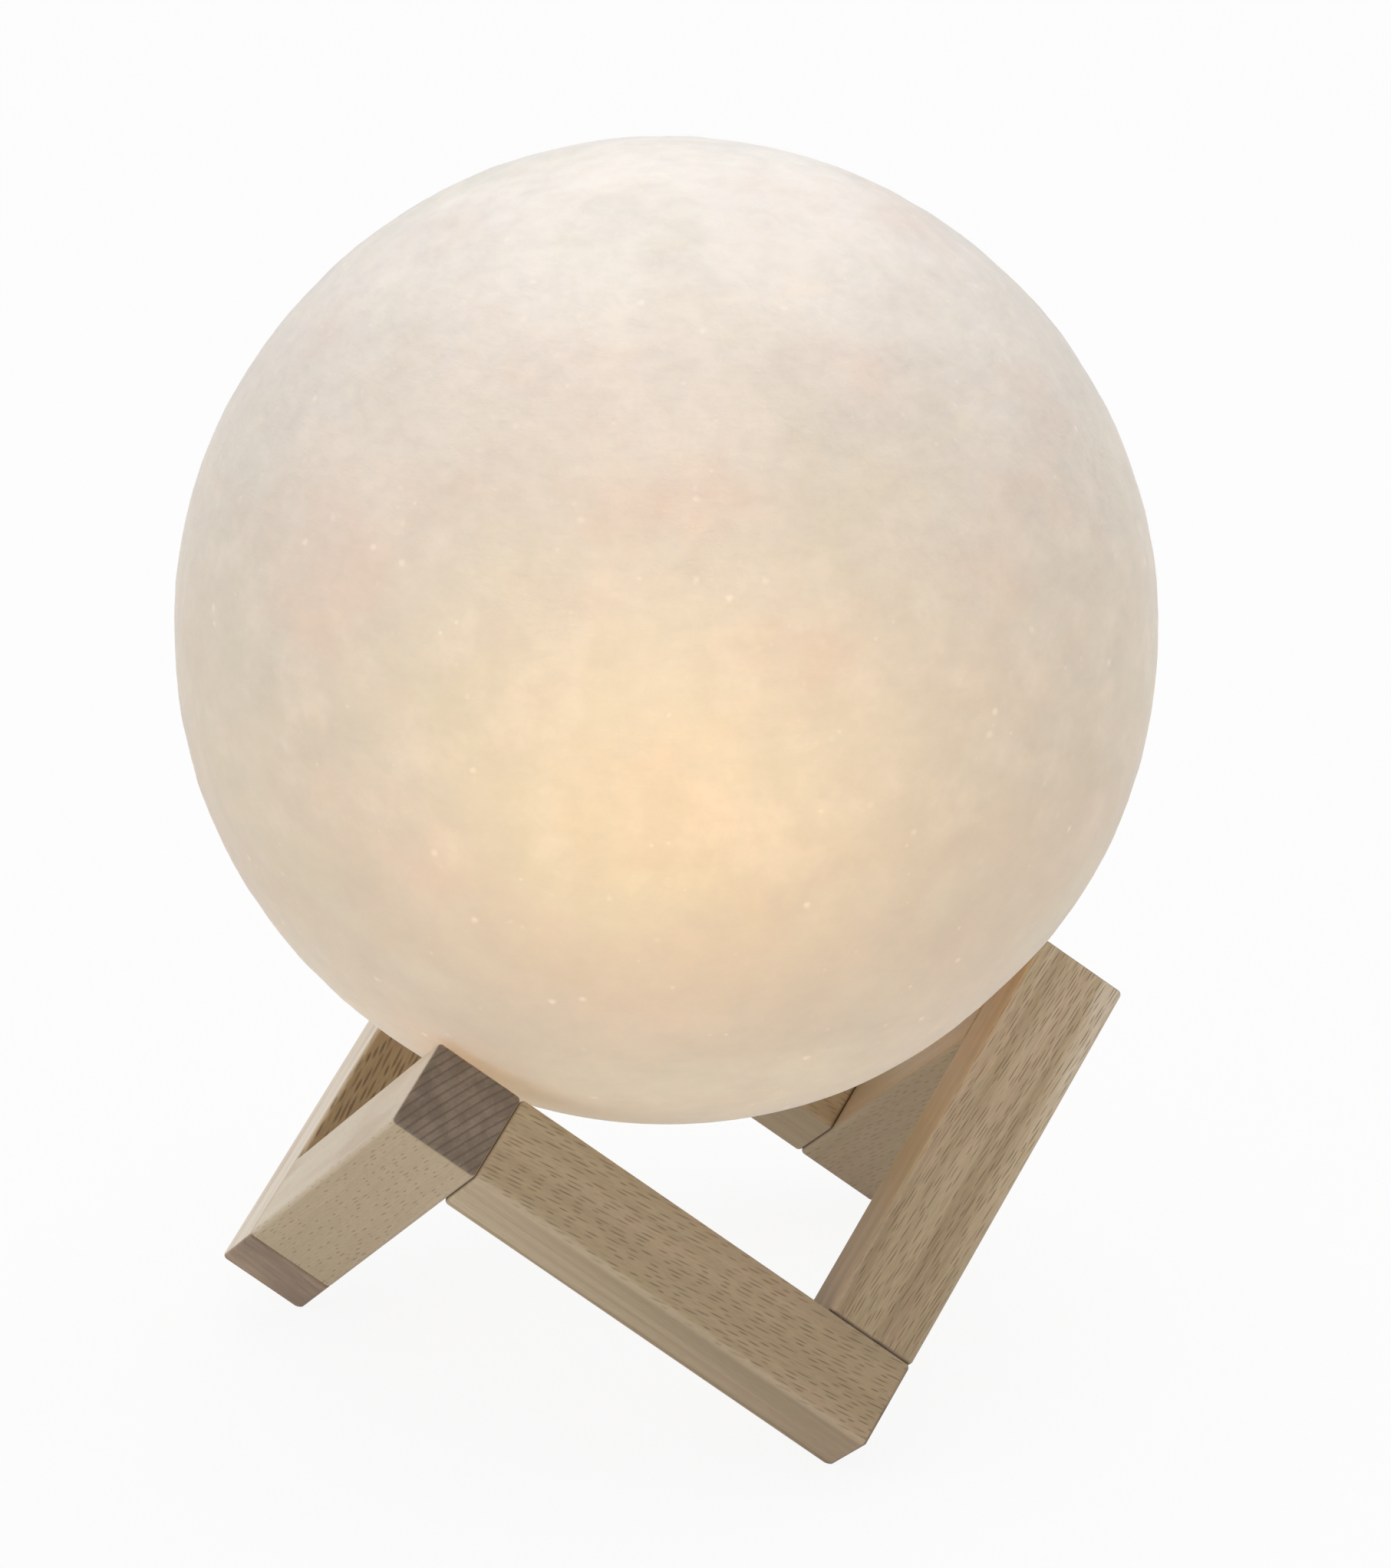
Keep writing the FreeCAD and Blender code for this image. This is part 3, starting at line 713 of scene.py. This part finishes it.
moonPrint = {
    # Colour and glow by height, from the lowest point to the highest. The colours pale towards the top as
    # painted light from above.
    "coloursLitFromAbove": [(0.0, (0.66, 0.60, 0.52)), (0.30, (0.625, 0.57, 0.50)), (0.50, (0.67, 0.645, 0.59)),
                (0.70, (0.71, 0.69, 0.65)), (0.85, (0.765, 0.742, 0.712)), (1.0, (0.90, 0.893, 0.872))],
    "glows": [(0.0, (0.32, 0.27, 0.20)), (0.20, (0.16, 0.13, 0.09)), (0.42, (0.12, 0.083, 0.045)),
              (0.58, (0.10, 0.073, 0.042)), (0.75, (0.08, 0.065, 0.05)), (1.0, (0.10, 0.09, 0.085))],
    "pink": (0.74, 0.615, 0.56),
    "pinkSpan": (0.50, 0.72),
    "pinkShare": 0.40,
    "green": (0.70, 0.70, 0.60),
    "greenSpan": (0.50, 0.30),
    "greenShare": 0.35,
    # A noise's scale, detail, roughness and distortion; a stretch changes the scale on each axis.
    "broad": (0.035, 4.0, 0.55),
    "mottle": (0.13, 5.0, 0.6),
    "cloud": (0.12, 4.0, 0.6),
    "lumpStretch": (0.26, 0.26, 0.46),
    "lumps": (1.0, 4.0, 0.55, 0.4),
    "threadStretch": (0.5, 0.5, 2.1),
    "threads": (1.0, 3.0, 0.55),
    "hueStretch": (0.03, 0.03, 0.04),
    "hue": (1.0, 3.0, 0.6),
    "roughRise": (0.40, 0.85),  # heights; the upper half is the rougher
    "roughLeast": 0.3,
    # Each kind of speck: the scale and reach of its drift, its cells' scale, its outline and its chance.
    "spots": {"drift": (0.5, 1.0), "scale": 0.19, "outline": (0.17, 0.02), "chance": (0.50, 0.95)},
    "grits": {"drift": (0.8, 0.5), "scale": 0.42, "outline": (0.20, 0.02), "chance": (0.82, 1.0)},
    "gritShare": 0.7,
    "speck": (0.98, 0.95, 0.89),
    "speckShare": 0.40,
    "patchSpan": (0.44, 0.74),
    "patchRise": (0.32, 0.46),  # heights between which the patches come and go
    "patchFall": (0.80, 0.66),
    "patchShare": 0.16,
    "roughness": 0.84,
    "refraction": 1.40,
    "gloss": 0.15,
    "throughLight": 0.2,
    "sheen": 0.55,
    "sheenRoughness": 0.32,
    "bump": 0.6,
    "bumpDepth": 0.5,
}


def moonSpecks(finish, place, kind):
    # Pale specks of one kind, ragged because their places drift.
    distance, chance = finish.cells(finish.moved(place, *kind["drift"]), kind["scale"])
    return finish.slope(distance, *kind["outline"]) * finish.slope(chance, *kind["chance"])


def moonFinish():
    finish = Finish("moon_surface")
    centre, radius, _ = globeForm()
    place = finish.places(offset=-centre * millimetres)
    z = finish.parts(place)[2]
    height = z / (radius * millimetres * 2.0) + 0.5  # 0 at the foot, 1 at the top

    broad = finish.sway(place, *moonPrint["broad"])
    mottle = finish.sway(place, *moonPrint["mottle"])
    lumps = finish.sway(finish.stretched(place, moonPrint["lumpStretch"]), *moonPrint["lumps"])
    threads = finish.sway(finish.stretched(place, moonPrint["threadStretch"]), *moonPrint["threads"])
    hue = finish.noise(finish.stretched(place, moonPrint["hueStretch"]), *moonPrint["hue"])
    cloud = finish.noise(place, *moonPrint["cloud"])

    spots, grits = [moonSpecks(finish, place, moonPrint[kind]) for kind in ("spots", "grits")]
    speck = finish.clamped(spots + grits * moonPrint["gritShare"])
    patch = finish.slope(cloud, *moonPrint["patchSpan"])
    for span in ("patchRise", "patchFall"):
        patch = patch * finish.slope(height, *moonPrint[span])

    least = moonPrint["roughLeast"]
    rough = finish.slope(height, *moonPrint["roughRise"]) * (1.0 - least) + least
    light = broad * 0.10 + mottle * 0.15 + lumps * rough * 0.16 + threads * rough * 0.05
    level = finish.clamped(height + broad * 0.10)
    # The paler top of this ramp is painted light from above, laid on the print's own tone.
    colour = finish.ramp(level, moonPrint["coloursLitFromAbove"])
    for tint in ("pink", "green"):
        amount = finish.slope(hue, *moonPrint[tint + "Span"]) * moonPrint[tint + "Share"]
        colour = finish.mixed(amount, colour, moonPrint[tint])
    colour = finish.shaded(colour, light + 1.0)
    pale = finish.clamped(speck * moonPrint["speckShare"] + patch * moonPrint["patchShare"])
    colour = finish.mixed(pale, colour, moonPrint["speck"])
    glow = finish.ramp(level, moonPrint["glows"])
    glow = finish.shaded(glow, light * 1.5 + speck * 0.3 + patch * 0.12 + 1.0)

    relief = lumps * rough + threads * rough * 0.25 + mottle + speck * 0.2
    return finish.done(Base_Color=colour, Roughness=moonPrint["roughness"], IOR=moonPrint["refraction"],
                       Transmission_Weight=moonPrint["throughLight"], Specular_IOR_Level=moonPrint["gloss"],
                       Sheen_Weight=moonPrint["sheen"], Sheen_Roughness=moonPrint["sheenRoughness"],
                       Emission_Color=glow, Emission_Strength=1.0,
                       Normal=finish.bump(relief, moonPrint["bump"], moonPrint["bumpDepth"]))


moonGlobe = makeGlobe()
moonGlobe.data.materials.append(moonFinish())
print("globe made,", len(moonGlobe.data.polygons), "faces")


# Parts in the core and under the globe: moulded, plated, lacquered or sleeved.
def mouldedPlastic(name, colour, roughness, grain, throughLight=0.0,
                   glow=None, strength=0.0, glowSpan=None):
    finish = Finish(name)
    place = finish.places()
    pebble = finish.sway(place, 2.4, 4.0, 0.65)
    cloud = finish.sway(place, 0.09, 3.0)
    tint = finish.shaded(colour, cloud * 0.10 + pebble * 0.04 + 1.0)
    sockets = {"Base_Color": tint, "Roughness": pebble * 0.15 + roughness,
               "Normal": finish.bump(pebble, grain, 0.03)}
    if throughLight:
        sockets["Transmission_Weight"] = throughLight
    if glow:
        amount = cloud * 0.15 + 1.0
        if glowSpan:
            # Light from the chips soaks down into the plastic and fades with depth.
            z = finish.parts(place)[2]
            amount = amount * finish.slope(z / millimetres, *glowSpan)
        sockets["Emission_Color"] = finish.shaded(glow, amount)
        sockets["Emission_Strength"] = strength
    return finish.done(**sockets)


def platedMetal(name, colour, roughness, brush=(0.2, 3.0, 3.0)):
    # Brush strokes run along the axis with the small factor.
    finish = Finish(name)
    place = finish.places()
    stroke = finish.sway(finish.stretched(place, brush), 1.0, 4.0, 0.6)
    cloud = finish.sway(place, 0.6, 3.0)
    tint = finish.shaded(colour, stroke * 0.16 + cloud * 0.12 + 1.0)
    return finish.done(Base_Color=tint, Metallic=1.0, Roughness=cloud * 0.2 + stroke * 0.1 + roughness,
                       Normal=finish.bump(stroke, 0.25, 0.01))


def boardResin(name):
    # Green resist, paler over the copper tracks.
    finish = Finish(name)
    place = finish.places()
    track, _ = finish.cells(finish.stretched(place, (0.45, 0.45, 0.05)))
    line = finish.slope(abs(track - 0.42), 0.05, 0.02)
    weave = finish.sway(place, 3.0)
    colour = finish.mixed(line * 0.6, (0.025, 0.16, 0.08), (0.06, 0.30, 0.13))
    colour = finish.shaded(colour, weave * 0.12 + 1.0)
    return finish.done(Base_Color=colour, Roughness=0.32 + weave * 0.1,
                       Normal=finish.bump(line + weave * 0.2, 0.4, 0.02))


def foamPad(name):
    finish = Finish(name)
    place = finish.places()
    cell, lot = finish.cells(place, 2.2)
    colour = finish.mixed(lot, (0.03, 0.03, 0.034), (0.06, 0.06, 0.066))
    colour = finish.shaded(colour, 1.0 - cell * 0.5)
    return finish.done(Base_Color=colour, Roughness=0.95, Normal=finish.bump(cell, 0.8, 0.15))


def cellSleeve(name):
    # Shrink film: glossy, with faint creases across.
    finish = Finish(name)
    place = finish.places()
    crease = finish.sway(finish.stretched(place, (0.15, 0.15, 0.9)), 1.0, 3.0)
    tint = finish.shaded((0.03, 0.16, 0.36), crease * 0.2 + 1.0)
    return finish.done(Base_Color=tint, Roughness=0.22 + crease * 0.1, Coat_Weight=0.4,
                       Normal=finish.bump(crease, 0.35, 0.08))


def chipPhosphor(name):
    # Yellow phosphor under clear resin.
    finish = Finish(name)
    place = finish.places()
    fleck = finish.sway(place, 5.0, 3.0)
    colour = finish.shaded((0.95, 0.72, 0.22), fleck * 0.2 + 1.0)
    glow = finish.shaded((1.0, 0.80, 0.50), fleck * 0.1 + 1.0)
    return finish.done(Base_Color=colour, Roughness=0.3, Emission_Color=glow, Emission_Strength=8.0)


def dowelFinish(name):
    finish = Finish(name)
    fibre = finish.noise(finish.stretched(finish.places(), (1.4, 1.4, 1.4)), 1.0, 4.0, 0.6)
    colour = finish.mixed(fibre, (0.60, 0.47, 0.33), (0.50, 0.37, 0.24))
    return finish.done(Base_Color=colour, Roughness=0.6, Normal=finish.bump(fibre, 0.4, 0.05))


whitePlastic = mouldedPlastic("white_plastic", (0.80, 0.785, 0.75), 0.48, 0.4)
litHousing = mouldedPlastic("lit_housing", (0.80, 0.785, 0.75), 0.48, 0.4, glow=(1.0, 0.60, 0.13),
                            strength=28.0, glowSpan=(0.056, 0.096))
buttonPlastic = mouldedPlastic("button_plastic", (0.62, 0.62, 0.61), 0.22, 0.1)
blackPlastic = mouldedPlastic("black_plastic", (0.022, 0.022, 0.024), 0.5, 0.4)
clearPlastic = mouldedPlastic("clear_plastic", (0.80, 0.84, 0.81), 0.12, 0.05, throughLight=0.2)
# The dome's glow is the chips' light, painted into the milky plastic as emission.
litMilkyPlastic = mouldedPlastic("milky_plastic", (0.86, 0.80, 0.70), 0.5, 0.2,
                              glow=(1.0, 0.59, 0.12), strength=62.0)
leadSleeve = mouldedPlastic("lead_sleeve", (0.42, 0.02, 0.016), 0.42, 0.15)
zincPlate = platedMetal("zinc_plate", (0.58, 0.58, 0.60), 0.32)
socketPlate = platedMetal("socket_plate", (0.66, 0.66, 0.67), 0.24, (3.0, 3.0, 0.3))
nickelStrip = platedMetal("nickel_strip", (0.70, 0.67, 0.62), 0.26, (3.0, 0.15, 3.0))
plateAluminium = platedMetal("plate_aluminium", (0.80, 0.81, 0.82), 0.38, (0.3, 3.0, 3.0))
chipLight = chipPhosphor("light_chip")

coreFinishes = {
    "neck_ring": whitePlastic, "base_cap": whitePlastic, "core_housing": litHousing,
    "power_button": buttonPlastic, "indicator_lens": clearPlastic, "diffuser_dome": litMilkyPlastic,
    "switch_body": blackPlastic, "switch_plunger": blackPlastic, "charge_chip": blackPlastic,
    "socket_tongue": blackPlastic, "charging_socket": socketPlate,
    "board_screws": zincPlate, "plate_screws": zincPlate, "battery_tabs": nickelStrip,
    "lamp_plate": plateAluminium, "light_chips": chipLight, "indicator_led": chipLight,
    "battery_leads": leadSleeve, "lamp_leads": leadSleeve, "control_board": boardResin("board_resin"),
    "battery_pads": foamPad("pad_foam"), "battery_cell": cellSleeve("cell_sleeve"),
    "stand_dowels": dowelFinish("beech_dowels"),
}

for name, material in coreFinishes.items():
    coat(name, material)
capScrewSet.data.materials.clear()
capScrewSet.data.materials.append(zincPlate)
print("core finished")


# Floor, light and camera.
studio = {
    "floorSize": 8.0,
    "floorShare": 0.10,  # how much of the floor's own shading shows to the camera
    "floorColour": (0.90, 0.90, 0.90),
    "skyLight": 0.70,
    "panels": [
        {"name": "key_panel", "place": (-0.85, -1.25, 0.65), "size": 1.1, "power": 2.6},
        {"name": "top_panel", "place": (0.10, 0.45, 1.25), "size": 1.0, "power": 3.6},
    ],
    "panelAim": (0.0, 0.0, 0.095),
}

view = {
    "aim": (0.0044, 0.0, 0.0891),
    "distance": 1.1687,
    "turn": 5.064,
    "tilt": 20.124,
    "lens": 176.125,
    "sensor": 36.0,
}


def seenDirectly(finish):
    # 1 for rays from the camera, and for those that come off gloss or through glass.
    path = finish.add("ShaderNodeLightPath", {}, {})
    kinds = ("Is Camera Ray", "Is Glossy Ray", "Is Transmission Ray")
    direct, glossy, through = [Value(finish, path.socket.node.outputs[kind]) for kind in kinds]
    return finish.clamped(direct + glossy + through)


def makeFloor():
    deselectAll()
    bpy.ops.mesh.primitive_plane_add(size=studio["floorSize"], location=(0, 0, 0))
    floor = bpy.context.object
    floor.name = "floor"
    finish = Finish("floor_white")
    lit = finish.add("ShaderNodeBsdfDiffuse", {}, {"Color": (*studio["floorColour"], 1.0)})
    white = finish.add("ShaderNodeEmission", {}, {"Color": (1, 1, 1, 1), "Strength": 1.0})
    share = seenDirectly(finish) * (1.0 - studio["floorShare"])
    surface = finish.add("ShaderNodeMixShader", {}, [share, lit, white])
    finish.add("ShaderNodeOutputMaterial", {}, {"Surface": surface}, None)
    floor.data.materials.append(finish.material)


def makeSky():
    world = bpy.data.worlds.new("sky")
    bpy.context.scene.world = world
    world.use_nodes = True
    finish = Finish("sky_nodes")
    bpy.data.materials.remove(finish.material)
    finish.tree = world.node_tree
    finish.tree.nodes.clear()
    strength = seenDirectly(finish) * (1.0 - studio["skyLight"]) + studio["skyLight"]
    surface = finish.add("ShaderNodeBackground", {}, {"Color": (1, 1, 1, 1), "Strength": strength})
    finish.add("ShaderNodeOutputWorld", {}, {"Surface": surface}, None)


def makePanels():
    for panel in studio["panels"]:
        light = bpy.data.lights.new(panel["name"], "AREA")
        light.shape = "SQUARE"
        light.size = panel["size"]
        light.energy = panel["power"]
        lamp = bpy.data.objects.new(panel["name"], light)
        bpy.context.scene.collection.objects.link(lamp)
        lamp.location = panel["place"]
        towards = Vector(studio["panelAim"]) - lamp.location
        lamp.rotation_euler = towards.to_track_quat("-Z", "Y").to_euler()
        lamp.visible_camera = False


def makeCamera():
    turn, tilt = math.radians(view["turn"]), math.radians(view["tilt"])
    back = Vector((math.sin(turn) * math.cos(tilt), -math.cos(turn) * math.cos(tilt), math.sin(tilt)))
    data = bpy.data.cameras.new("camera")
    data.lens = view["lens"]
    data.sensor_width = view["sensor"]
    camera = bpy.data.objects.new("camera", data)
    bpy.context.scene.collection.objects.link(camera)
    camera.location = Vector(view["aim"]) + back * view["distance"]
    camera.rotation_euler = (math.pi / 2 - tilt, 0.0, turn)
    bpy.context.scene.camera = camera


makeFloor()
makeSky()
makePanels()
makeCamera()
bpy.context.scene.view_settings.view_transform = "Standard"
print("studio set")
